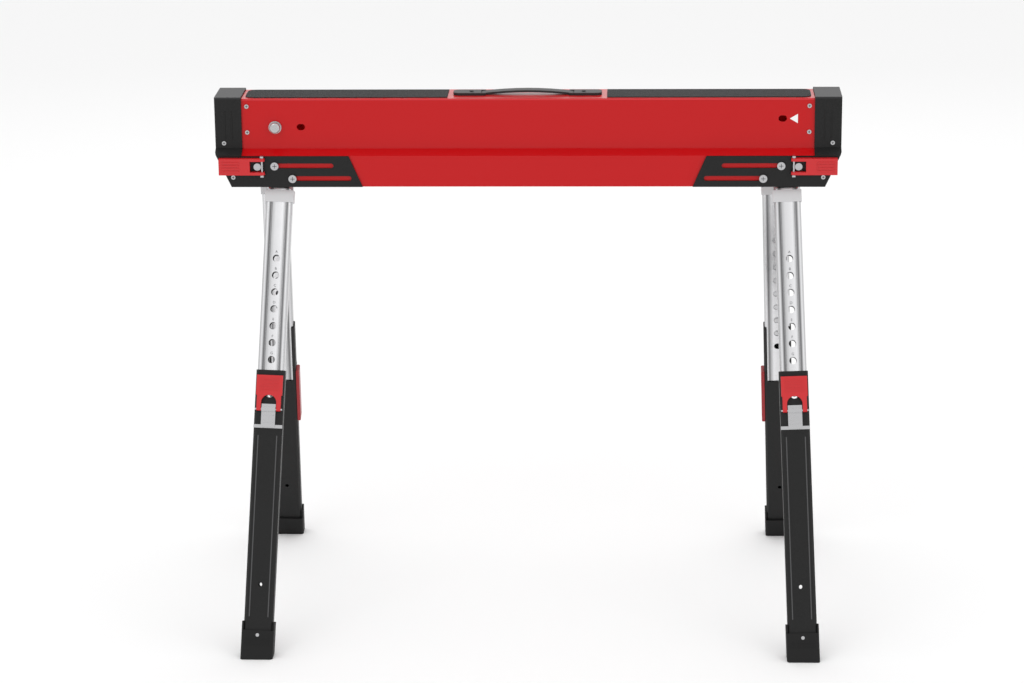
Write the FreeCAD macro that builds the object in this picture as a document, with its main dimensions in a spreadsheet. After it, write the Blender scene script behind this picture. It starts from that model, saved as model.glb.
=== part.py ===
import FreeCAD, Part
import math
import os
import Sketcher

# Folding sawhorse. X runs along the beam, the front is -Y, +Z is up, and the floor is Z = 0.
# Turning the sawhorse half a turn about Z gives the same legs, so a leg is long-splay (type A,
# front left and rear right) or short-splay (type B, front right and rear left).

os.makedirs("parts", exist_ok=True)
doc = FreeCAD.newDocument("folding_sawhorse")
V = FreeCAD.Vector

# ---------------------------------------------------------------- driving dimensions, mm, degrees

SIZES = {
    "work_height": 795, "overall_length": 934, "cap_length": 40,
    "beam_height": 131, "top_half_width": 33, "base_half_width": 48,
    "wall_height": 76, "flare_height": 8, "steel_gauge": 2,
    "plate_gauge": 2.5, "plate_gap": 0.4, "plate_reach": 200.3, "plate_rake": 20.4,
    "plate_bevel": 24, "slot_half": 3.7, "slot_travel": 84,
    "upper_slot_drop": 98.6, "lower_slot_drop": 118,
    "upper_stud_place": 89.5, "lower_stud_place": 116, "stud_head": 6, "stud_shank": 3,
    "hinge_height": 664, "hinge_half_span": 27, "hinge_a_place": 372, "hinge_b_place": 387,
    "splay": 20.25, "lean_a": 0.040, "lean_b": 0.033,
    "inner_width": 39.4, "inner_depth": 18.4, "inner_start": -14, "inner_end": 505,
    "outer_width": 43, "outer_depth": 22, "outer_start": 282, "outer_end": 696,
    "tube_gauge": 1.5, "corner": 3, "back_opening": 104,
    "hole_pitch": 25.4, "hole_count": 9, "first_hole": 114, "hole_radius": 5.5,
    "pin_radius": 4, "pin_clearance": 0.05, "cheek_gap": 10.8, "cheek_gauge": 2.5,
    "foot_width": 48.5, "foot_depth": 28, "foot_start": 670, "ear_start": 657,
    "lever_start": 290, "lever_pivot": 341, "lever_width": 39, "lever_out": 17,
    "pivot_out": 14.3, "grip_inner": 119, "grip_outer": 422, "grip_half": 27.5,
    "grip_thick": 1.2, "pad_inner": 62.5, "pad_outer": 111,
}
sheet = doc.addObject("Spreadsheet::Sheet", "sizes")
for row, (word, number) in enumerate(SIZES.items(), start=1):
    sheet.set(f"A{row}", word)
    sheet.set(f"B{row}", str(number))
    sheet.setAlias(f"B{row}", word)
doc.recompute()

WORD = "<<sizes>>."


def size(word):
    return float(sheet.get(word))


def cell(text):
    """An expression in which each $word is that cell of the sheet."""
    return text.replace("$", WORD)


# ------------------------------------------------------------------------------ building blocks


def new_body(label):
    body = doc.addObject("PartDesign::Body", label)
    body.Label = label
    return body


def new_sketch(body, role, name):
    plane = [f for f in body.Origin.OriginFeatures if f.Role == role][0]
    sketch = body.newObject("Sketcher::SketchObject", name)
    sketch.AttachmentSupport = [(plane, "")]
    sketch.MapMode = "FlatFace"
    return sketch


def pin_point(sketch, curve, end, across, up):
    """Holds one point of the sketch at expressions across and up."""
    for kind, text in (("DistanceX", across), ("DistanceY", up)):
        index = sketch.addConstraint(Sketcher.Constraint(kind, -1, 1, curve, end, 1.0))
        sketch.setExpression(f"Constraints[{index}]", cell(text))


def outline(sketch, corners):
    """A closed outline of straight sides through corners, each a pair of expressions."""
    first = sketch.GeometryCount
    count = len(corners)
    turn = [2 * math.pi * i / count for i in range(count + 1)]
    ring = [V(50 * math.cos(a), 50 * math.sin(a), 0) for a in turn]
    for i in range(count):
        sketch.addGeometry(Part.LineSegment(ring[i], ring[i + 1]), False)
    for i in range(count):
        after = first + (i + 1) % count
        sketch.addConstraint(Sketcher.Constraint("Coincident", first + i, 2, after, 1))
    for i, (across, up) in enumerate(corners):
        pin_point(sketch, first + i, 1, across, up)


def circle(sketch, across, up, radius):
    index = sketch.addGeometry(Part.Circle(V(1, 1, 0), V(0, 0, 1), 2.0), False)
    held = sketch.addConstraint(Sketcher.Constraint("Radius", index, 2.0))
    sketch.setExpression(f"Constraints[{held}]", cell(radius))
    pin_point(sketch, index, 3, across, up)


def pad(body, sketch, length, both_ways=False):
    feature = body.newObject("PartDesign::Pad", "pad")
    feature.Profile = sketch
    feature.Midplane = both_ways
    feature.setExpression("Length", cell(length))
    return feature


def pocket(body, sketch, length, both_ways=True, turned=False):
    """Cuts the sketch out of the body, and stops if it takes nothing away."""
    doc.recompute()
    before = body.Shape.Volume
    feature = body.newObject("PartDesign::Pocket", "pocket")
    feature.Profile = sketch
    feature.Midplane = both_ways
    feature.Reversed = turned
    feature.setExpression("Length", cell(length))
    doc.recompute()
    if body.Shape.Volume > before - 1:
        raise ValueError(f"a pocket in {body.Label} cuts nothing")
    return feature


def block(name, low, high):
    """A box between two corners, each three expressions."""
    box = doc.addObject("Part::Box", name)
    for prop, a, b in zip(("Length", "Width", "Height"), low, high):
        box.setExpression(prop, cell(f"({b}) - ({a})"))
    for axis, a in zip("xyz", low):
        box.setExpression(f".Placement.Base.{axis}", cell(a))
    return box


def rod(name, radius, length, base, direction):
    """A cylinder that starts at base and runs along direction."""
    cylinder = doc.addObject("Part::Cylinder", name)
    cylinder.setExpression("Radius", cell(radius))
    cylinder.setExpression("Height", cell(length))
    cylinder.Placement = FreeCAD.Placement(base, FreeCAD.Rotation(V(0, 0, 1), direction))
    return cylinder


def joined(label, pieces):
    fusion = doc.addObject("Part::MultiFuse", label)
    fusion.Shapes = pieces
    fusion.Label = label
    return fusion


def cut(label, base, tool):
    difference = doc.addObject("Part::Cut", label)
    difference.Base = base
    difference.Tool = tool
    difference.Label = label
    return difference


def group(label, pieces):
    """Separate identical solids in one node."""
    compound = doc.addObject("Part::Compound", label)
    compound.Links = pieces
    compound.Label = label
    return compound


def rounded(label, base, radius, test):
    """Fillets each straight or curved edge whose midpoint and direction pass the test."""
    doc.recompute()
    chosen = []
    for number, edge in enumerate(base.Shape.Edges, start=1):
        ends = edge.Vertexes[-1].Point - edge.Vertexes[0].Point
        if test(edge.CenterOfMass, ends):
            chosen.append((number, radius, radius))
    fillet = doc.addObject("Part::Fillet", label)
    fillet.Base = base
    fillet.Edges = chosen
    fillet.Label = label
    return fillet


def along(axis):
    """A test for edges that run along one axis of the piece, 0, 1 or 2."""
    return lambda middle, ends: abs(ends[axis]) > 0.99 * ends.Length > 0


NODES = []


def node(item):
    NODES.append(item)
    return item


# --------------------------------------------------------------------------------------- the beam

END = "($overall_length / 2)"
BEAM_END = "($overall_length / 2 - $cap_length)"
TOP = "$work_height"
BASE = "($work_height - $beam_height)"
RISE = "((sqrt($flare_height^2 + ($base_half_width - $top_half_width)^2) - $flare_height)"
RISE += " / ($base_half_width - $top_half_width))"
SIDES = ((-1, "left"), (1, "right"))


def profile(gap, side):
    """The beam's side as seen from its end, moved outward by gap, from the top down."""
    upper = f"($work_height - $wall_height + ({gap}) * {RISE})"
    lower = f"($work_height - $wall_height - $flare_height + ({gap}) * {RISE})"
    wide = f"{side} * ($base_half_width + ({gap}))"
    slim = f"{side} * ($top_half_width + ({gap}))"
    return [(slim, upper), (wide, lower), (wide, BASE)]


def span(side, near, far):
    """Low and high X of a piece between two distances from the middle, at one end."""
    return (near, far) if side > 0 else (f"-({far})", f"-({near})")


def slot_tool(name, side, near, far, middle, half):
    """A straight slot with round ends, right through both sides."""
    low, high = span(side, near, far)
    web = block(f"{name}_web", (low, "-80", f"{middle} - {half}"), (high, "80", f"{middle} + {half}"))
    ends = []
    for place in (near, far):
        end = rod(f"{name}_end", half, "160", V(0, -80, 0), V(0, 1, 0))
        end.setExpression(".Placement.Base.x", cell(f"{side} * ({place})"))
        end.setExpression(".Placement.Base.z", cell(middle))
        ends.append(end)
    return [web] + ends


def beam_shell():
    body = new_body("beam_channel")
    section = new_sketch(body, "YZ_Plane", "beam_section")
    rear_out = [("$top_half_width", TOP)] + profile("0", 1)
    front_out = [("-$top_half_width", TOP)] + profile("0", -1)
    roof = f"{TOP} - $steel_gauge"
    rear_in = [("$top_half_width - $steel_gauge", roof)] + profile("-$steel_gauge", 1)
    front_in = [("-$top_half_width + $steel_gauge", roof)] + profile("-$steel_gauge", -1)
    outline(section, rear_out + rear_in[::-1] + front_in + front_out[::-1])
    pad(body, section, f"2 * {BEAM_END}", both_ways=True)
    tools = []
    for name, x, drop in (("far", "-338.5", "43.3"), ("near", "379.5", "31")):
        middle = f"{TOP} - {drop}"
        web = block(f"{name}_slot", (f"{x} - 1.5", "-60", f"{middle} - 4.75"),
                    (f"{x} + 1.5", "0", f"{middle} + 4.75"))
        tools.append(web)
        for shift in (-1.5, 1.5):
            spot = V(float(x) + shift, -60, size("work_height") - float(drop))
            tools.append(rod(f"{name}_slot_end", "4.75", "60", spot, V(0, 1, 0)))
    node(cut("beam_shell", body, joined("beam_slots", tools)))


def top_covers():
    for side, name in SIDES:
        low, high = span(side, "$grip_inner", "$grip_outer")
        slab = block(f"grip_slab_{name}", (low, "-$grip_half", TOP),
                     (high, "$grip_half", f"{TOP} + $grip_thick"))
        node(rounded(f"grip_tape_{name}", slab, 12,
                     lambda m, e, s=side: along(2)(m, e) and m.x * s > 300))
        low, high = span(side, "$pad_inner", "$pad_outer")
        base = block(f"handle_base_{name}", (low, "-13", TOP), (high, "13", f"{TOP} + 4"))
        soft = rounded(f"handle_soft_{name}", base, 9,
                       lambda m, e, s=side: along(2)(m, e) and m.x * s > 100)
        low, high = span(side, "$pad_inner - 1", "$pad_inner + 7")
        mouth = block(f"handle_mouth_{name}", (low, "-9", f"{TOP}"), (high, "9", f"{TOP} + 5"))
        seat = cut(f"handle_seat_{name}", soft, mouth)
        screw = rod(f"handle_screw_{name}", "3", "1.2", V(side * 84, 0, size("work_height") + 4),
                    V(0, 0, 1))
        node(joined(f"handle_pad_{name}", [seat, screw]))
    body = new_body("handle_strap")
    arch = new_sketch(body, "XZ_Plane", "strap_arch")
    lower = []
    for step in range(9):
        share = step / 4 - 1
        rise = round(4.3 * (1 - share ** 2), 3)
        lower.append((f"{round(share, 3)} * ($pad_inner + 6)", f"{TOP} + {rise}"))
    upper = [(x, f"{z} + 3") for x, z in reversed(lower)]
    outline(arch, lower + upper)
    pad(body, arch, "18", both_ways=True)
    node(body)


def beam_fasteners():
    top, high, wide = size("work_height"), size("top_half_width"), size("base_half_width")
    half = size("overall_length") / 2
    places = (("upper", size("upper_stud_place"), size("upper_slot_drop")),
              ("lower", size("lower_stud_place"), size("lower_slot_drop")))
    studs, screws = [], []
    for side in (-1, 1):
        for face in (-1, 1):
            for word, place, drop in places:
                x, z = side * (half - place), top - drop
                root = V(x, face * wide, z)
                shank = rod("stud_shank", "$stud_shank", "3.2", root, V(0, face, 0))
                base = V(x, face * (wide + 3.2), z)
                head = rod("stud_head", "$stud_head", "3", base, V(0, face, 0))
                studs.append(joined("slide_stud", [shank, head]))
            for drop in (11.6, 51):
                spot = V(side * 419, face * high, top - drop)
                screws.append(rod("cover_screw", "3.2", "1.6", spot, V(0, face, 0)))
    node(group("slide_studs", studs))
    node(group("cover_screws", screws))
    spot = V(-377, -high, top - 43.3)
    flange = rod("stop_flange", "9.5", "2.5", spot, V(0, -1, 0))
    dome = rod("stop_dome", "8", "10", spot, V(0, -1, 0))
    crown = rounded("stop_crown", dome, 3, lambda m, e: m.y < -size("top_half_width") - 9)
    node(joined("stop_stud", [flange, crown]))


# ----------------------------------------------------------------------------------- leg geometry


class Leg:
    """Where one leg stands. Its own frame has the hinge at the origin, the foot towards -Z,
    the outward face towards +Y and its width along X."""

    def __init__(self, name, end, face, kind):
        self.name, self.end, self.face, self.kind = name, end, face, kind
        tilt = math.radians(size("splay"))
        lean = size(f"lean_{kind}")
        run = V(end * lean, face * math.sin(tilt), -math.cos(tilt))
        self.run = run.normalize()
        self.out = V(0, face * math.cos(tilt), math.sin(tilt))
        self.hinge = V(end * size(f"hinge_{kind}_place"), face * size("hinge_half_span"),
                       size("hinge_height"))
        up = self.run * -1
        across = self.out.cross(up)
        self.placement = FreeCAD.Placement(FreeCAD.Matrix(
            across.x, self.out.x, up.x, self.hinge.x, across.y, self.out.y, up.y, self.hinge.y,
            across.z, self.out.z, up.z, self.hinge.z, 0, 0, 0, 1))

    def place(self, item):
        item.Placement = self.placement.multiply(item.Placement)
        return item

    def box(self, name, low, high):
        """A box stated in the leg's own frame, with its low corner carried into place."""
        shell = block(name, low, high)
        holder = doc.addObject("Part::Compound", f"{name}_{self.name}")
        holder.Links = [shell]
        return self.place(holder)


LEGS = [
    Leg("front_left", -1, -1, "a"), Leg("front_right", 1, -1, "b"),
    Leg("rear_left", -1, 1, "b"), Leg("rear_right", 1, 1, "a"),
]


def hinge_carriers():
    """A steel shelf across the inside of each end, with two tilted cheeks for each leg."""
    wall = "($base_half_width - $steel_gauge)"
    shelf_low = "($hinge_height + 28)"
    for side, name in SIDES:
        low, high = span(side, "346", "418")
        parts = [block(f"shelf_{name}", (low, f"-{wall}", shelf_low), (high, wall, f"{shelf_low} + 3"))]
        bores = []
        for leg in LEGS:
            if leg.end != side:
                continue
            for turn in (-1, 1):
                near, far = ("$cheek_gap", "$cheek_gap + $cheek_gauge")
                if turn < 0:
                    near, far = ("-$cheek_gap - $cheek_gauge", "-$cheek_gap")
                parts.append(leg.box(f"cheek_{turn}", ("-13", near, "-8"), ("13", far, "40")))
            base = leg.hinge - leg.out * 20
            bores.append(rod("cheek_bore", "$pin_radius", "40", base, leg.out))
        trim = block(f"above_shelf_{name}", ("-600", "-100", f"{shelf_low} + 3"), ("600", "100", "900"))
        whole = joined(f"carrier_whole_{name}", parts)
        node(cut(f"hinge_carrier_{name}", whole, joined(f"carrier_cut_{name}", bores + [trim])))
    pins = [rod("hinge_pin", "$pin_radius", "26.6", leg.hinge - leg.out * 13.3, leg.out)
            for leg in LEGS]
    node(group("hinge_pins", pins))


def ring(width, depth, inset, groove):
    """The tube's section, with bevelled corners and, if wanted, two grooves in the outer face."""
    x, y = f"({width} / 2 - {inset})", f"({depth} / 2 - {inset})"
    c = f"($corner - 0.4 * {inset})"
    right = [(x, f"-{y} + {c}"), (x, f"{y} - {c}"), (f"{x} - {c}", y)]
    if groove:
        right += [("12", y), ("11.4", f"{y} - 0.6"), ("10.1", f"{y} - 0.6"), ("9.5", y)]
    right = [(f"{x} - {c}", f"-{y}")] + right
    return right + [(f"-({a})", b) for a, b in reversed(right)]


def tube(leg, label, width, depth, start, end, groove):
    body = new_body(f"{label}_{leg.name}")
    section = new_sketch(body, "XY_Plane", "tube_section")
    section.AttachmentOffset = FreeCAD.Placement(V(0, 0, -size(end)), FreeCAD.Rotation())
    outline(section, ring(width, depth, "0", groove))
    outline(section, ring(width, depth, "$tube_gauge", False))
    pad(body, section, f"${end} - (${start})")
    return body


def upper_leg(leg):
    body = tube(leg, "upper_leg", "$inner_width", "$inner_depth", "inner_start", "inner_end", True)
    holes = new_sketch(body, "XZ_Plane", "setting_holes")
    for index in range(int(size("hole_count"))):
        circle(holes, "0", f"-($first_hole + {index} * $hole_pitch)", "$hole_radius")
    circle(holes, "0", "0", "$pin_radius + $pin_clearance")
    pocket(body, holes, "$inner_depth + 4")
    node(leg.place(body))
    outer = block(f"collar_outer_{leg.name}", ("-21.2", "-10.4", "-29"), ("21.2", "10.4", "-11"))
    inner = block(f"collar_inner_{leg.name}", ("-$inner_width / 2", "-$inner_depth / 2", "-30"),
                  ("$inner_width / 2", "$inner_depth / 2", "-10"))
    node(leg.place(cut(f"leg_collar_{leg.name}", outer, inner)))


def lower_leg(leg):
    body = tube(leg, "lower_leg", "$outer_width", "$outer_depth", "outer_start", "outer_end", False)
    back = new_sketch(body, "XZ_Plane", "back_opening")
    half, low = "($outer_width / 2 - 5)", "-($outer_start + $back_opening)"
    outline(back, [(f"-{half}", low), (half, low), (half, "-$outer_start + 1"),
                   (f"-{half}", "-$outer_start + 1")])
    pocket(body, back, "$outer_depth", both_ways=False, turned=True)
    window = new_sketch(body, "XZ_Plane", "pin_window")
    circle(window, "0", "-($first_hole + 8 * $hole_pitch)", "6")
    circle(window, "0", "-602", "3")
    pocket(body, window, "$outer_depth + 4")
    node(leg.place(body))

    wide, deep = "($foot_width / 2)", "($foot_depth / 2)"
    shoe = block(f"shoe_{leg.name}", (f"-{wide}", f"-{deep}", "-740"), (wide, deep, "-$foot_start"))
    soft = rounded(f"shoe_soft_{leg.name}", shoe, 4, along(2))
    ears = block(f"ears_{leg.name}", (f"-{wide}", "-10", "-$foot_start - 1"), (wide, "10", "-$ear_start"))
    socket = block(f"shoe_socket_{leg.name}", ("-$outer_width / 2", "-$outer_depth / 2", "-$outer_end"),
                   ("$outer_width / 2", "$outer_depth / 2", "-600"))
    hollow = leg.place(cut(f"shoe_hollow_{leg.name}", joined(f"shoe_all_{leg.name}", [soft, ears]), socket))
    floor = block(f"floor_{leg.name}", ("-600", "-500", "-120"), ("600", "500", "0"))
    node(cut(f"foot_{leg.name}", hollow, floor))


def latch(leg):
    """A clip on the lower leg, a pivot pin, and a red lever with its lock pin."""
    name = leg.name
    face = "($outer_depth / 2)"
    plate = block(f"clip_plate_{name}", ("-10.5", face, "-368"), ("10.5", f"{face} + 2.9", "-333"))
    lug = block(f"clip_lug_{name}", ("-10.5", face, "-$lever_pivot - 3"),
                ("10.5", "$lever_out", "-$lever_pivot + 3"))
    band = block(f"clip_band_{name}", ("-$outer_width / 2", face, "-369"),
                 ("$outer_width / 2", f"{face} + 1.5", "-364"))
    ribs = [block(f"clip_rib_{name}", ("-8", face, f"-{z} - 1"), ("8", f"{face} + 3.7", f"-{z} + 1"))
            for z in (350, 355, 360)]
    bore = rod(f"clip_bore_{name}", "1.5", "60", V(-30, size("pivot_out"), -size("lever_pivot")),
               V(1, 0, 0))
    clip = cut(f"latch_clip_{name}", joined(f"clip_whole_{name}", [plate, lug, band] + ribs), bore)
    node(leg.place(clip))
    axle = rod(f"axle_{name}", "1.5", "41", V(-20.5, size("pivot_out"), -size("lever_pivot")),
               V(1, 0, 0))
    node(leg.place(group(f"latch_pivot_{name}", [axle])))

    wide, under = "($lever_width / 2)", f"({face} + 0.6)"
    pad_part = block(f"lever_pad_{name}", (f"-{wide}", under, "-320"), (wide, "$lever_out", "-$lever_start"))
    arms = block(f"lever_arms_{name}", (f"-{wide} + 1.5", under, "-$lever_pivot"),
                 (f"{wide} - 1.5", "$lever_out", "-318"))
    knob = rod(f"lever_round_{name}", "$lever_out - $pivot_out", "36",
               V(-18, size("pivot_out"), -size("lever_pivot")), V(1, 0, 0))
    grips = [block(f"lever_grip_{name}", ("-14", "$lever_out - 1", f"-{z} - 0.9"),
                   ("14", "$lever_out + 0.7", f"-{z} + 0.9")) for z in (296, 301, 306, 311)]
    whole = joined(f"lever_whole_{name}", [pad_part, arms, knob] + grips)
    notch = block(f"lever_notch_{name}", ("-11.5", "5", "-352"), ("11.5", "30", "-331"))
    arch = rod(f"lever_arch_{name}", "11.5", "30", V(0, 5, -331), V(0, 1, 0))
    hole = rod(f"lever_hole_{name}", "1.55", "60", V(-30, size("pivot_out"), -size("lever_pivot")),
               V(1, 0, 0))
    tools = joined(f"lever_tools_{name}", [notch, arch, hole])
    node(leg.place(cut(f"latch_lever_{name}", whole, tools)))
    level = -(size("first_hole") + 8 * size("hole_pitch"))
    tip = size("inner_depth") / 2 + 0.35
    pin = rod(f"pin_{name}", "3.5", f"{face} + 0.6 - {tip}", V(0, tip, level), V(0, 1, 0))
    node(leg.place(group(f"latch_pin_{name}", [pin])))


def leg_clips():
    for leg in LEGS:
        if leg.face > 0:
            inward = -leg.end
            low, high = span(inward, "$outer_width / 2", "$outer_width / 2 + 5")
            bar = block(f"clip_bar_{leg.name}", (low, "-9", "-467"), (high, "9", "-368"))
            soft = rounded(f"leg_clip_{leg.name}", bar, 2,
                           lambda m, e, s=inward: along(1)(m, e) and m.x * s > 24)
            node(leg.place(soft))


# ------------------------------------------------------------------------------- sliding brackets


def bracket(side, name):
    body = new_body(f"bracket_steel_{name}")
    gap, outer = "$plate_gap", "($plate_gap + $plate_gauge)"
    offset = FreeCAD.Placement(V(0, 0, side * size("overall_length") / 2), FreeCAD.Rotation())
    wall = new_sketch(body, "YZ_Plane", "end_wall")
    wall.AttachmentOffset = offset
    rear = [(f"$top_half_width + {outer}", TOP)] + profile(outer, 1)
    front = [(f"-($top_half_width + {outer})", TOP)] + profile(outer, -1)
    outline(wall, rear + front[::-1])
    end_pad = pad(body, wall, "$plate_gauge")
    end_pad.Reversed = side > 0
    doc.recompute()
    for face in (-1, 1):
        strip = new_sketch(body, "YZ_Plane", "side_plate")
        strip.AttachmentOffset = offset
        out_line = [(f"{face} * ($top_half_width + {outer})", TOP)] + profile(outer, face)
        in_line = [(f"{face} * ($top_half_width + {gap})", TOP)] + profile(gap, face)
        outline(strip, out_line + in_line[::-1])
        strip_pad = pad(body, strip, "$plate_reach + $plate_rake")
        strip_pad.Reversed = side > 0
        doc.recompute()
    lip = f"({TOP} - $wall_height - $flare_height)"

    def at(place):
        return f"{side} * ({END} - ({place}))"

    trims = new_sketch(body, "XZ_Plane", "trims")
    reach, far = "$plate_reach", "($plate_reach + $plate_rake)"
    outline(trims, [(at("$cap_length"), f"{TOP} + 5"), (at("$cap_length"), lip), (at(reach), lip),
                    (at(far), BASE), (at(far), f"{BASE} - 5"), (at(f"{far} + 9"), f"{BASE} - 5"),
                    (at(f"{far} + 9"), f"{TOP} + 5")])
    pocket(body, trims, "200")
    bevel = new_sketch(body, "XZ_Plane", "bevel")
    outline(bevel, [(at("-2"), f"{lip} + 5"), (at("0"), f"{lip} + 5"), (at("$plate_bevel"), BASE),
                    (at("$plate_bevel"), f"{BASE} - 5"), (at("-2"), f"{BASE} - 5")])
    pocket(body, bevel, "200")
    tools = []
    for word in ("upper", "lower"):
        stud = f"{END} - ${word}_stud_place"
        tools += slot_tool(f"{word}_{name}", side, f"{stud} - $slot_travel - 0.5", f"{stud} + 0.5",
                           f"{TOP} - ${word}_slot_drop", "$slot_half")
    node(cut(f"end_bracket_{name}", body, joined(f"bracket_slots_{name}", tools)))

    half_out = f"($top_half_width + {outer})"
    low, high = span(side, f"{BEAM_END} + 0.4", END)
    lid = block(f"cap_lid_{name}", (low, f"-{half_out}", TOP), (high, half_out, f"{TOP} + 2.5"))
    half_in = "($top_half_width + $plate_gap)"
    low, high = span(side, f"{BEAM_END} + 2", f"{END} - $plate_gauge")
    plug = block(f"cap_plug_{name}", (low, f"-{half_in}", f"{TOP} - 30"), (high, half_in, TOP))
    node(joined(f"bracket_cap_{name}", [lid, plug]))

    rivets = []
    slim = size("top_half_width") + 2.9
    broad = size("base_half_width") + 2.9
    for face in (-1, 1):
        for x, z, y in ((454, 728, slim), (440, 679, broad)):
            rivets.append(rod("bracket_rivet", "3.2", "1.5", V(side * x, face * y, z), V(0, face, 0)))
    node(group(f"bracket_rivets_{name}", rivets))
    bolt = rod(f"bolt_{name}", "5.5", "3", V(side * 403.3, -broad, 695.4), V(0, -1, 0))
    node(group(f"lock_bolt_{name}", [bolt]))

    pin = rod(f"lever_pin_{name}", "1.6", "27", V(side * 396, -broad - 5.1, 683), V(0, 0, 1))
    lugs = [block(f"lever_lug_{name}_{z}", (f"{side * 396} - 2.4", f"-{broad + 7.5}", f"{z}"),
                  (f"{side * 396} + 2.4", f"-{broad}", f"{z + 2.6}")) for z in (680.5, 709.9)]
    node(joined(f"lock_pivot_{name}", [pin] + lugs))

    out = broad + 5.1
    low, high = span(side, "396", "460.6")
    slab = block(f"grip_{name}", (low, f"-{out + 4}", "684"), (high, f"-{out - 4.4}", "709"))
    eye = rod(f"eye_{name}", "4.2", "25", V(side * 396, -out, 684), V(0, 0, 1))
    low, high = span(side, "430", "456")
    ribs = [block(f"grip_rib_{name}", (low, f"-{out + 4.9}", f"{z}"), (high, f"-{out + 3}", f"{z + 2.2}"))
            for z in (688.5, 692.9, 697.3, 701.7)]
    low, high = span(side, "385", "414")
    notch = block(f"notch_{name}", (low, "-90", "688.3"), (high, "-20", "704.7"))
    hole = rod(f"pin_hole_{name}", "1.65", "60", V(side * 396, -out, 670), V(0, 0, 1))
    whole = joined(f"grip_whole_{name}", [slab, eye] + ribs)
    node(cut(f"slide_lock_lever_{name}", whole, joined(f"grip_tools_{name}", [notch, hole])))


# ------------------------------------------------------------------------------------- everything

beam_shell()
top_covers()
beam_fasteners()
hinge_carriers()
for leg in LEGS:
    upper_leg(leg)
    lower_leg(leg)
    latch(leg)
leg_clips()
for side, name in SIDES:
    bracket(side, name)
doc.recompute()

for item in doc.Objects:
    if "Invalid" in item.State or "Error" in item.State:
        raise ValueError(f"{item.Label} did not build: {item.State}")
for item in NODES:
    if item.Shape.isNull() or not item.Shape.isValid():
        raise ValueError(f"{item.Label} has no valid shape")
for item in NODES:
    item.Shape.exportStep(f"parts/{item.Label}.step")
    box = item.Shape.BoundBox
    print(item.Label, len(item.Shape.Solids), round(item.Shape.Volume), [round(v) for v in (
        box.XMin, box.XMax, box.YMin, box.YMax, box.ZMin, box.ZMax)])
print(len(NODES), "nodes")
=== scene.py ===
"""Looks for the folding sawhorse: materials, small visual pieces, a camera, lights and a floor."""
import math

import bpy
from mathutils import Matrix, Vector


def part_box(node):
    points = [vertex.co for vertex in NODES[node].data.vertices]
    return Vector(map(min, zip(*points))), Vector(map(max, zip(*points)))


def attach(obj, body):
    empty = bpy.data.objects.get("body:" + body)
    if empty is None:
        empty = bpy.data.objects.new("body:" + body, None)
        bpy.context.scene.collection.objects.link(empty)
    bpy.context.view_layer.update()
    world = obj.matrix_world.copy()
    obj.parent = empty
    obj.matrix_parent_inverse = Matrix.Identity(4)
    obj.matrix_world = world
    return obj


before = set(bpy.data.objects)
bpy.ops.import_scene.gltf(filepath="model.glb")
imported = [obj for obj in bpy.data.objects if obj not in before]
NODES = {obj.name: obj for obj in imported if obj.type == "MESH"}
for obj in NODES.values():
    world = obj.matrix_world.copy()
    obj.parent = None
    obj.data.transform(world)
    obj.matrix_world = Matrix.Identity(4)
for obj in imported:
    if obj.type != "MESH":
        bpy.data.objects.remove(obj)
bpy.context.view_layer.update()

# ---------------------------------------------------------------------------------------- units


def metres(*lengths):
    """These lengths in millimetres, as metres."""
    return [length / 1000 for length in lengths]


def millimetres(place):
    """A place from the frame in millimetres, to the nearest hundredth."""
    return [round(value * 1000, 2) for value in place]


# ------------------------------------------------------------------------------------ materials

COAT_ROUGHNESS = 0.08
DARK_STOP, LIGHT_STOP = 0.38, 0.66


def shader(name, color, rough, metal=0.0, coat=0.0):
    """A plain material, with its Principled node and its node tree."""
    material = bpy.data.materials.new(name)
    material.use_nodes = True
    node = material.node_tree.nodes["Principled BSDF"]
    node.inputs["Base Color"].default_value = (*color, 1)
    node.inputs["Roughness"].default_value = rough
    node.inputs["Metallic"].default_value = metal
    node.inputs["Coat Weight"].default_value = coat
    node.inputs["Coat Roughness"].default_value = COAT_ROUGHNESS
    return material, node, material.node_tree


def noise(tree, scale, detail=4.0):
    """3-D noise over the piece's own coordinates."""
    place = tree.nodes.new("ShaderNodeTexCoord")
    texture = tree.nodes.new("ShaderNodeTexNoise")
    texture.inputs["Scale"].default_value = scale
    texture.inputs["Detail"].default_value = detail
    tree.links.new(place.outputs["Object"], texture.inputs["Vector"])
    return texture


def bumped(tree, node, texture, strength, distance):
    """Bumps the surface with the texture. The distance is in metres."""
    bump = tree.nodes.new("ShaderNodeBump")
    bump.inputs["Strength"].default_value = strength
    bump.inputs["Distance"].default_value = distance
    tree.links.new(texture.outputs["Fac"], bump.inputs["Height"])
    tree.links.new(bump.outputs["Normal"], node.inputs["Normal"])


def mottled(tree, node, texture, socket, low, high):
    """Drives a number socket of the shader between two values with the texture."""
    spread = tree.nodes.new("ShaderNodeMapRange")
    spread.inputs["To Min"].default_value = low
    spread.inputs["To Max"].default_value = high
    tree.links.new(texture.outputs["Fac"], spread.inputs["Value"])
    tree.links.new(spread.outputs["Result"], node.inputs[socket])


def tinted(tree, node, texture, dark, light):
    """Mixes the base colour between two colours with the texture."""
    ramp = tree.nodes.new("ShaderNodeValToRGB")
    ramp.color_ramp.elements[0].position = DARK_STOP
    ramp.color_ramp.elements[0].color = (*dark, 1)
    ramp.color_ramp.elements[1].position = LIGHT_STOP
    ramp.color_ramp.elements[1].color = (*light, 1)
    tree.links.new(texture.outputs["Fac"], ramp.inputs["Fac"])
    tree.links.new(ramp.outputs["Color"], node.inputs["Base Color"])


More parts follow.
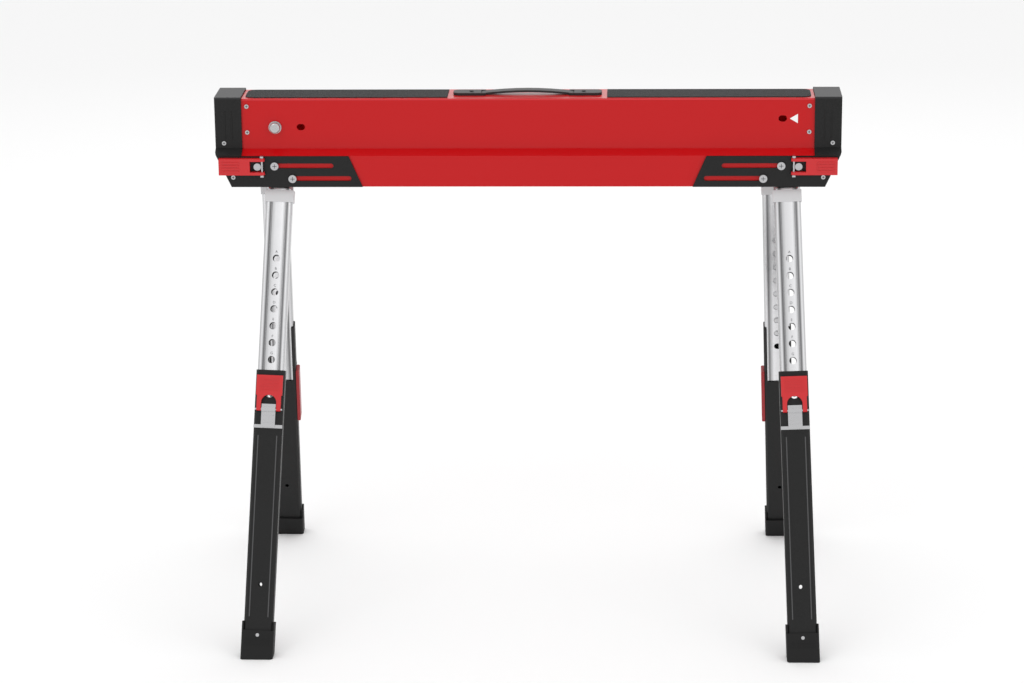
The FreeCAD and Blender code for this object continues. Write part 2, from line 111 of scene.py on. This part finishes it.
def red_paint():
    material, node, tree = shader("red gloss powder coat", (0.5, 0.001, 0.003), 0.34, coat=0.1)
    node.inputs["Specular IOR Level"].default_value = 0.25
    peel = noise(tree, 420, 2)
    bumped(tree, node, peel, 0.12, 0.0004)
    mottled(tree, node, noise(tree, 9), "Roughness", 0.24, 0.36)
    return material


def black_paint():
    material, node, tree = shader("black satin powder coat", (0.006, 0.006, 0.006), 0.5)
    grain = noise(tree, 900, 3)
    tinted(tree, node, grain, (0.003, 0.003, 0.003), (0.01, 0.01, 0.01))
    node.inputs["Specular IOR Level"].default_value = 0.3
    bumped(tree, node, grain, 0.25, 0.0003)
    return material


def grit():
    material, node, tree = shader("black grit", (0.01, 0.01, 0.01), 0.9)
    grain = noise(tree, 1500, 5)
    tinted(tree, node, grain, (0.004, 0.004, 0.004), (0.05, 0.05, 0.052))
    bumped(tree, node, grain, 0.9, 0.001)
    return material


def black_plastic():
    material, node, tree = shader("black plastic", (0.01, 0.01, 0.011), 0.5)
    bumped(tree, node, noise(tree, 700, 2), 0.2, 0.0003)
    return material


def rubber():
    material, node, tree = shader("black rubber", (0.006, 0.006, 0.006), 0.65)
    node.inputs["Specular IOR Level"].default_value = 0.3
    bumped(tree, node, noise(tree, 500, 3), 0.3, 0.0004)
    return material


# Painted reflections of a polished tube, in bands: the place across its width, from 0 to 1, and how
# bright it is.
PAINTED_REFLECTION_BANDS = (
    (0.0, 0.5), (0.1, 0.8), (0.17, 0.16), (0.25, 0.5), (0.34, 0.82), (0.62, 0.7),
    (0.74, 0.45), (0.82, 0.14), (0.9, 0.78), (1.0, 0.42),
)
CHROME_HALF_WIDTH = 0.0197  # in metres, as the shader measures
CHROME_BLUE = 1.02


def chrome(name, hinge, across):
    """A polished tube with painted reflections: the bands lie across the width and stay fixed to the
    piece.
    The hinge is a point on its middle line, and across is the direction of its width."""
    material, node, tree = shader(f"polished chrome {name}", (0.7, 0.7, 0.72), 0.2, metal=0.85)
    place = tree.nodes.new("ShaderNodeTexCoord")
    dot = tree.nodes.new("ShaderNodeVectorMath")
    dot.operation = "DOT_PRODUCT"
    dot.inputs[1].default_value = across
    tree.links.new(place.outputs["Object"], dot.inputs[0])
    middle = hinge.dot(across)
    spread = tree.nodes.new("ShaderNodeMapRange")
    spread.inputs["From Min"].default_value = middle - CHROME_HALF_WIDTH
    spread.inputs["From Max"].default_value = middle + CHROME_HALF_WIDTH
    tree.links.new(dot.outputs["Value"], spread.inputs["Value"])
    # The ramp paints the tube's reflections into its base colour as bright and dark bands.
    ramp = tree.nodes.new("ShaderNodeValToRGB")
    while len(ramp.color_ramp.elements) < len(PAINTED_REFLECTION_BANDS):
        ramp.color_ramp.elements.new(0.5)
    for element, (position, grey) in zip(ramp.color_ramp.elements, PAINTED_REFLECTION_BANDS):
        element.position = position
        element.color = (grey, grey, grey * CHROME_BLUE, 1)
    tree.links.new(spread.outputs["Result"], ramp.inputs["Fac"])
    tree.links.new(ramp.outputs["Color"], node.inputs["Base Color"])
    mottled(tree, node, noise(tree, 35), "Roughness", 0.14, 0.26)
    return material


def zinc():
    material, node, tree = shader("bright zinc", (0.5, 0.5, 0.51), 0.3, metal=1.0)
    mottled(tree, node, noise(tree, 120), "Roughness", 0.2, 0.36)
    return material


def red_plastic(name, color):
    material, node, tree = shader(name, color, 0.38, coat=0.1)
    bumped(tree, node, noise(tree, 600, 2), 0.15, 0.0003)
    return material


def white_plastic():
    material, node, tree = shader("white plastic", (0.6, 0.6, 0.61), 0.4)
    bumped(tree, node, noise(tree, 600, 2), 0.1, 0.0002)
    return material


# ----------------------------------------------------------------------------------------- legs

# Each leg: which end, which face, how far along the beam its hinge is, and its outward lean.
LEG_PLACES = {
    "front_left": (-1, -1, 372, 0.040), "front_right": (1, -1, 387, 0.033),
    "rear_left": (-1, 1, 387, 0.033), "rear_right": (1, 1, 372, 0.040),
}
SPLAY = math.radians(20.25)
HINGE_HALF_SPAN, HINGE_HEIGHT = 27, 664


def leg_frame(end, face, place, lean):
    """A leg's own frame: third axis up the leg, second axis outward, origin at the hinge."""
    run = Vector((end * lean, face * math.sin(SPLAY), -math.cos(SPLAY))).normalized()
    out = Vector((0, face * math.cos(SPLAY), math.sin(SPLAY)))
    up = -run
    across = out.cross(up)
    turn = Matrix((across, out, up)).transposed().to_4x4()
    hinge = metres(end * place, face * HINGE_HALF_SPAN, HINGE_HEIGHT)
    return Matrix.Translation(hinge) @ turn


# ------------------------------------------------------------------------- finishes of the nodes

RED, BLACK, GRIT, PLASTIC = red_paint(), black_paint(), grit(), black_plastic()
RUBBER, ZINC, WHITE = rubber(), zinc(), white_plastic()
RED_GRIP = red_plastic("red plastic", (0.55, 0.006, 0.01))
# A darker copy of the red plastic for the leg clips: painted shade.
SHADED_RED_PLASTIC = red_plastic("red plastic with painted shade", (0.3, 0.003, 0.007))
LIGHT_RED = red_plastic("light red edge", (0.6, 0.012, 0.02))
INK, _, _ = shader("white print", (0.86, 0.86, 0.86), 0.5)
# Light grey lines on the black lower legs: painted highlight.
EDGE_HIGHLIGHT_GREY, _, _ = shader("painted edge highlight", (0.06, 0.06, 0.062), 0.35)
# Dark print for the index letters, and painted shade in the cross recesses of the screws, studs and
# rivets.
DARK_PRINT_AND_RECESS_SHADE, _, _ = shader("dark print and painted recess shade", (0.05, 0.05, 0.055), 0.5)

FINISHES = {
    "beam_shell": RED, "grip_tape": GRIT, "handle_pad": PLASTIC, "handle_strap": PLASTIC,
    "hinge_carrier": BLACK, "hinge_pins": ZINC, "slide_studs": ZINC, "cover_screws": ZINC,
    "stop_stud": ZINC, "end_bracket": BLACK, "bracket_cap": PLASTIC, "bracket_rivets": ZINC,
    "lock_bolt": ZINC, "lock_pivot": ZINC, "slide_lock_lever": RED_GRIP,
    "leg_collar": WHITE, "lower_leg": BLACK, "foot": RUBBER, "latch_clip": ZINC,
    "latch_pivot": ZINC, "latch_lever": RED_GRIP, "latch_pin": ZINC, "leg_clip": SHADED_RED_PLASTIC,
}


def finish_nodes():
    """Gives every CAD node the finish whose word its name starts with."""
    for word, spec in LEG_PLACES.items():
        leg = leg_frame(*spec)
        FINISHES[f"upper_leg_{word}"] = chrome(word, leg.translation, leg.col[0].to_3d())
    for name, node in NODES.items():
        finish = next(FINISHES[word] for word in FINISHES if name.startswith(word))
        node.data.materials.clear()
        node.data.materials.append(finish)


finish_nodes()

# -------------------------------------------------------------------------- ways to make a piece


def solid(name, corners, faces, material, body):
    """A piece from corners and faces, in metres, that rides on a body."""
    mesh = bpy.data.meshes.new(name)
    mesh.from_pydata(corners, [], faces)
    mesh.materials.append(material)
    piece = bpy.data.objects.new(name, mesh)
    bpy.context.scene.collection.objects.link(piece)
    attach(piece, body)
    return piece


def slab(name, low, high, material, body, bevel=0.0):
    """A box between two corners, with a bevel if one is given, all in millimetres."""
    x, y, z = [metres(a, b) for a, b in zip(low, high)]
    corners = [(x[i], y[j], z[k]) for i in (0, 1) for j in (0, 1) for k in (0, 1)]
    faces = [(0, 1, 3, 2), (4, 6, 7, 5), (0, 4, 5, 1), (2, 3, 7, 6), (0, 2, 6, 4), (1, 5, 7, 3)]
    piece = solid(name, corners, faces, material, body)
    if bevel:
        soften(piece, bevel)
    return piece


def soften(piece, width):
    """Rounds the piece's edges by this width in millimetres."""
    modifier = piece.modifiers.new("edges", "BEVEL")
    modifier.width = metres(width)[0]
    modifier.segments = 2
    modifier.limit_method = "ANGLE"


def prism(name, outline, depth, frame_of, material, body):
    """A thin plate of this outline, in millimetres, on a plane given as a matrix."""
    count = len(outline)
    flat = [(a, b, z) for z in (0, depth) for a, b in outline]
    corners = [frame_of @ Vector(metres(*place)) for place in flat]
    faces = [tuple(reversed(range(count))), tuple(range(count, 2 * count))]
    faces += [(i, (i + 1) % count, count + (i + 1) % count, count + i) for i in range(count)]
    return solid(name, [tuple(c) for c in corners], faces, material, body)


def rectangle(half_width, low, high):
    """An outline that is this far either side of the middle, between two heights."""
    return [(-half_width, low), (half_width, low), (half_width, high), (-half_width, high)]


def front_or_rear(face):
    """The word for a face in a piece's name."""
    return "front" if face < 0 else "rear"


# ----------------------------------------------------------------------- trim of the beam, in mm

BEAM_END, BASE_HALF_WIDTH, WORK_TOP = millimetres(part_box("beam_shell")[1])
TOP_HALF_WIDTH = 33

MARK_OUTLINE = [(-6, 0), (6, -7), (6, 7)]
MARK_PLACE = (396, 764)
MARK_DEPTH = 0.25

EDGE_LINE_END = BEAM_END - 1
EDGE_LINE_LOW, EDGE_LINE_HIGH = WORK_TOP - 2.5, WORK_TOP - 0.4
EDGE_LINE_OUT = 1.012       # its outer face, as a share of the wall's distance from the middle

HANDLE_SCREW_X = 84
HANDLE_SCREW_TOP = millimetres(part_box("handle_pad_left")[1])[2]
HANDLE_CROSS_LONG, HANDLE_CROSS_SHORT = 2.2, 0.4
HANDLE_CROSS_INSIDE, HANDLE_CROSS_OUTSIDE = 0.1, 0.15


def front_plane(x, z):
    """A plane on the front wall: first axis right, second up and third towards the viewer."""
    axes = Matrix(((1, 0, 0), (0, 0, -1), (0, 1, 0))).to_4x4()
    return Matrix.Translation(metres(x, -TOP_HALF_WIDTH, z)) @ axes


def beam_trim():
    """The direction mark, a line along each top edge and the crosses of the handle's screws, whose
    dark bars are painted shade in the recesses.
    """
    prism("direction_mark", MARK_OUTLINE, MARK_DEPTH, front_plane(*MARK_PLACE), INK, "beam")
    # The paint catches the light along the top edges.
    for face in (-1, 1):
        wall = face * TOP_HALF_WIDTH
        near, far = sorted((wall, wall * EDGE_LINE_OUT))
        slab(f"edge_line_{front_or_rear(face)}", (-EDGE_LINE_END, near, EDGE_LINE_LOW),
             (EDGE_LINE_END, far, EDGE_LINE_HIGH), LIGHT_RED, "beam")
    # Dark crossed bars on the handle's screws: painted shade in their cross recesses.
    low, high = HANDLE_SCREW_TOP - HANDLE_CROSS_INSIDE, HANDLE_SCREW_TOP + HANDLE_CROSS_OUTSIDE
    arms = ((HANDLE_CROSS_SHORT, HANDLE_CROSS_LONG), (HANDLE_CROSS_LONG, HANDLE_CROSS_SHORT))
    for side in (-1, 1):
        x = side * HANDLE_SCREW_X
        for turn, (along, out) in enumerate(arms):
            slab(f"handle_screw_cross_{side}_{turn}", (x - along, -out, low),
                 (x + along, out, high), DARK_PRINT_AND_RECESS_SHADE, "beam")


# ----------------------------------------------- cross recesses of the screws and studs, in mm

HALF_LENGTH = millimetres(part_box("end_bracket_right")[1])[0]
SMALL_REACH, STUD_REACH = 1.9, 3.2
ARM_HALF_WIDTH = 0.45
RECESS_INSIDE, RECESS_OUTSIDE = 0.1, 0.12

# Places are a distance along the beam and a height, and for the rivets how far out they reach.
SCREW_X = 419
SCREW_HEIGHTS = (WORK_TOP - 11.6, WORK_TOP - 51)
SCREW_OUT = millimetres(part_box("cover_screws")[1])[1]

STUD_PLACES = ((HALF_LENGTH - 89.5, WORK_TOP - 98.6), (HALF_LENGTH - 116, WORK_TOP - 118))
STUD_OUT = millimetres(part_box("slide_studs")[1])[1]

LOW_RIVET_OUT = millimetres(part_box("bracket_rivets_left")[1])[1]
HIGH_RIVET_OUT = LOW_RIVET_OUT - (BASE_HALF_WIDTH - TOP_HALF_WIDTH)
RIVET_PLACES = ((454, 728, HIGH_RIVET_OUT), (440, 679, LOW_RIVET_OUT))


def cross(x, z, out, reach, body):
    """Two crossed dark bars on the heads at this place, front and rear, that far out: painted shade in
    the cross recesses.
    """
    for face in (-1, 1):
        near, far = sorted((face * (out - RECESS_INSIDE), face * (out + RECESS_OUTSIDE)))
        tag = f"{x:.0f}_{z:.0f}_{front_or_rear(face)}"
        for word, along, up in (("a", reach, ARM_HALF_WIDTH), ("b", ARM_HALF_WIDTH, reach)):
            slab(f"recess_{word}_{tag}", (x - along, near, z - up), (x + along, far, z + up),
                 DARK_PRINT_AND_RECESS_SHADE, body)


def screw_crosses():
    """Painted shade in the cross recesses on the beam's cover screws, the slide studs and the
    brackets' rivets.
    """
    for side in (-1, 1):
        for z in SCREW_HEIGHTS:
            cross(side * SCREW_X, z, SCREW_OUT, SMALL_REACH, "beam")
    for side in (-1, 1):
        for x, z in STUD_PLACES:
            cross(side * x, z, STUD_OUT, STUD_REACH, "beam")
    for side, word in ((-1, "left"), (1, "right")):
        for x, z, out in RIVET_PLACES:
            cross(side * x, z, out, SMALL_REACH, f"bracket_{word}")


# --------------------------------------------------------------- trim of the end brackets, in mm

RIB_PLACES = (452, 442)
RIB_HALF_WIDTH = 0.9
RIB_LOW, RIB_HIGH = 734, 777
RIB_ROOT, RIB_FACE = 35.7, 36.6
RIB_BEVEL = 0.4


def bracket_trim():
    """Pressed lines on the uprights of the end brackets."""
    for side, word in ((-1, "left"), (1, "right")):
        for face in (-1, 1):
            near, far = sorted((face * RIB_ROOT, face * RIB_FACE))
            for index, place in enumerate(RIB_PLACES):
                x = side * place
                slab(f"rib_{index}_{word}_{front_or_rear(face)}", (x - RIB_HALF_WIDTH, near, RIB_LOW),
                     (x + RIB_HALF_WIDTH, far, RIB_HIGH), BLACK, f"bracket_{word}",
                     RIB_BEVEL)


# ----------------------------------------------------------------------- trim of the legs, in mm

# Distances down the leg are from its hinge, and outward ones from its middle line.
FIRST_HOLE, HOLE_PITCH = 114, 25.4
UPPER_LEG_FACE = 9.21
INDEX_LETTERS = "ABCDEFG"
LETTER_HEIGHT, LETTER_DEPTH = 5.5, 0.1
LETTER_ABOVE_HOLE = 8

LOWER_LEG_FACE = 11
LINE_X, LINE_HALF_WIDTH, LINE_DEPTH = 14, 0.8, 0.35
LINE_START, LINE_LENGTH = 380, 270

SHOE_FACE = 14
RIDGE_PLACES = (684, 690)
RIDGE_HALF_LENGTH, RIDGE_HALF_WIDTH, RIDGE_DEPTH = 18, 0.9, 0.6
SHOE_RIVET_PLACE = 677
SHOE_RIVET_RADIUS, SHOE_RIVET_DEPTH, SHOE_RIVET_SIDES = 2.6, 0.7, 16


def outer_face(leg, x, depth, down):
    """A plane on the leg's outward face: first axis to the viewer's right, second up the leg."""
    axes = Matrix(((-1, 0, 0), (0, 0, 1), (0, 1, 0))).to_4x4()
    return leg @ Matrix.Translation(metres(-x, depth, -down)) @ axes


def letter(name, text, plane, material, body):
    """A raised index letter from Blender's own font."""
    curve = bpy.data.curves.new(name, "FONT")
    curve.body = text
    curve.align_x = "CENTER"
    curve.size, curve.extrude = metres(LETTER_HEIGHT, LETTER_DEPTH)
    curve.materials.append(material)
    piece = bpy.data.objects.new(name, curve)
    bpy.context.scene.collection.objects.link(piece)
    piece.matrix_world = plane
    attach(piece, body)


def index_letters(word, leg):
    """Generic letters above the setting holes that show at the tallest setting."""
    for index, text in enumerate(INDEX_LETTERS):
        down = FIRST_HOLE + HOLE_PITCH * index - LETTER_ABOVE_HOLE
        letter(f"index_{text}_{word}", text, outer_face(leg, 0, UPPER_LEG_FACE, down), DARK_PRINT_AND_RECESS_SHADE,
               f"upper_{word}")


def leg_lines(word, leg):
    """Two long light lines down the outer face of the lower leg: painted highlights."""
    outline = rectangle(LINE_HALF_WIDTH, -LINE_LENGTH, 0)
    for side in (-1, 1):
        plane = outer_face(leg, side * LINE_X, LOWER_LEG_FACE, LINE_START)
        prism(f"leg_line_{side}_{word}", outline, LINE_DEPTH, plane, EDGE_HIGHLIGHT_GREY, f"lower_{word}")


def foot_trim(word, leg):
    """Two moulded ridges and a rivet on the outer face of the shoe."""
    ridge = rectangle(RIDGE_HALF_LENGTH, -RIDGE_HALF_WIDTH, RIDGE_HALF_WIDTH)
    for index, down in enumerate(RIDGE_PLACES):
        prism(f"shoe_ridge_{index}_{word}", ridge, RIDGE_DEPTH, outer_face(leg, 0, SHOE_FACE, down),
              RUBBER, f"lower_{word}")
    turns = [step * math.tau / SHOE_RIVET_SIDES for step in range(SHOE_RIVET_SIDES)]
    ring = [(SHOE_RIVET_RADIUS * math.cos(turn), SHOE_RIVET_RADIUS * math.sin(turn)) for turn in turns]
    prism(f"shoe_rivet_{word}", ring, SHOE_RIVET_DEPTH,
          outer_face(leg, 0, SHOE_FACE, SHOE_RIVET_PLACE), ZINC, f"lower_{word}")


def leg_trim():
    for word, spec in LEG_PLACES.items():
        leg = leg_frame(*spec)
        index_letters(word, leg)
        leg_lines(word, leg)
        foot_trim(word, leg)


beam_trim()
screw_crosses()
bracket_trim()
leg_trim()

# ------------------------------------------------------------- floor, lights, camera, in metres

FLOOR_REACH = 30
FLOOR_DROP = 0.0005         # just under the feet, so that the faces don't fight

LIGHT_AIM = (0, 0, 0.5)
TOP_LIGHT_AIM = (0, 0, 0.6)
WORLD_STRENGTH = 0.98

CAMERA_PLACE = (0.161, -4.567, 1.760)
CAMERA_PITCH, CAMERA_YAW, CAMERA_ROLL = 0.2875, -0.0412, -0.0101
CAMERA_LENS = 109.4
SENSOR_WIDTH = 36


def floor():
    """A plain pale floor under the feet."""
    mesh = bpy.data.meshes.new("floor")
    corners = [(x, y, 0) for x, y in rectangle(FLOOR_REACH, -FLOOR_REACH, FLOOR_REACH)]
    mesh.from_pydata(corners, [], [(0, 1, 2, 3)])
    material, _, _ = shader("pale floor", (0.93, 0.93, 0.93), 0.9)
    mesh.materials.append(material)
    piece = bpy.data.objects.new("floor", mesh)
    piece.location = (0, 0, -FLOOR_DROP)
    bpy.context.scene.collection.objects.link(piece)


def panel(name, place, aim, width, height, watts):
    """A soft rectangular light that is turned towards a point."""
    light = bpy.data.lights.new(name, "AREA")
    light.shape = "RECTANGLE"
    light.size, light.size_y, light.energy = width, height, watts
    piece = bpy.data.objects.new(name, light)
    piece.location = place
    piece.rotation_euler = (Vector(aim) - Vector(place)).to_track_quat("-Z", "Y").to_euler()
    bpy.context.scene.collection.objects.link(piece)


def camera():
    """A long lens in front of the sawhorse, slightly to the right of its middle and above it."""
    level = math.cos(CAMERA_PITCH)
    forward = Vector((math.sin(CAMERA_YAW) * level, math.cos(CAMERA_YAW) * level,
                      -math.sin(CAMERA_PITCH)))
    side = Vector((math.cos(CAMERA_YAW), -math.sin(CAMERA_YAW), 0))
    rise = side.cross(forward)
    right = side * math.cos(CAMERA_ROLL) + rise * math.sin(CAMERA_ROLL)
    up = -side * math.sin(CAMERA_ROLL) + rise * math.cos(CAMERA_ROLL)
    turn = Matrix((right, up, -forward)).transposed().to_4x4()
    data = bpy.data.cameras.new("camera")
    data.lens = CAMERA_LENS
    data.sensor_width = SENSOR_WIDTH
    piece = bpy.data.objects.new("camera", data)
    piece.matrix_world = Matrix.Translation(CAMERA_PLACE) @ turn
    bpy.context.scene.collection.objects.link(piece)
    bpy.context.scene.camera = piece


def white_world():
    """White light from all round, shown without a film look."""
    world = bpy.data.worlds.new("white studio")
    world.use_nodes = True
    background = world.node_tree.nodes["Background"]
    background.inputs["Color"].default_value = (1, 1, 1, 1)
    background.inputs["Strength"].default_value = WORLD_STRENGTH
    bpy.context.scene.world = world
    bpy.context.scene.view_settings.view_transform = "Standard"


floor()
panel("key", (-1.6, -2.6, 3.2), LIGHT_AIM, width=2.2, height=1.6, watts=14)
panel("fill", (2.6, -2.4, 1.8), LIGHT_AIM, width=1.8, height=2.2, watts=7)
panel("top", (0, 0.4, 3.4), TOP_LIGHT_AIM, width=3.2, height=2.0, watts=9)
panel("back", (0, 3.2, 2.0), LIGHT_AIM, width=3.0, height=1.6, watts=7)
white_world()
camera()
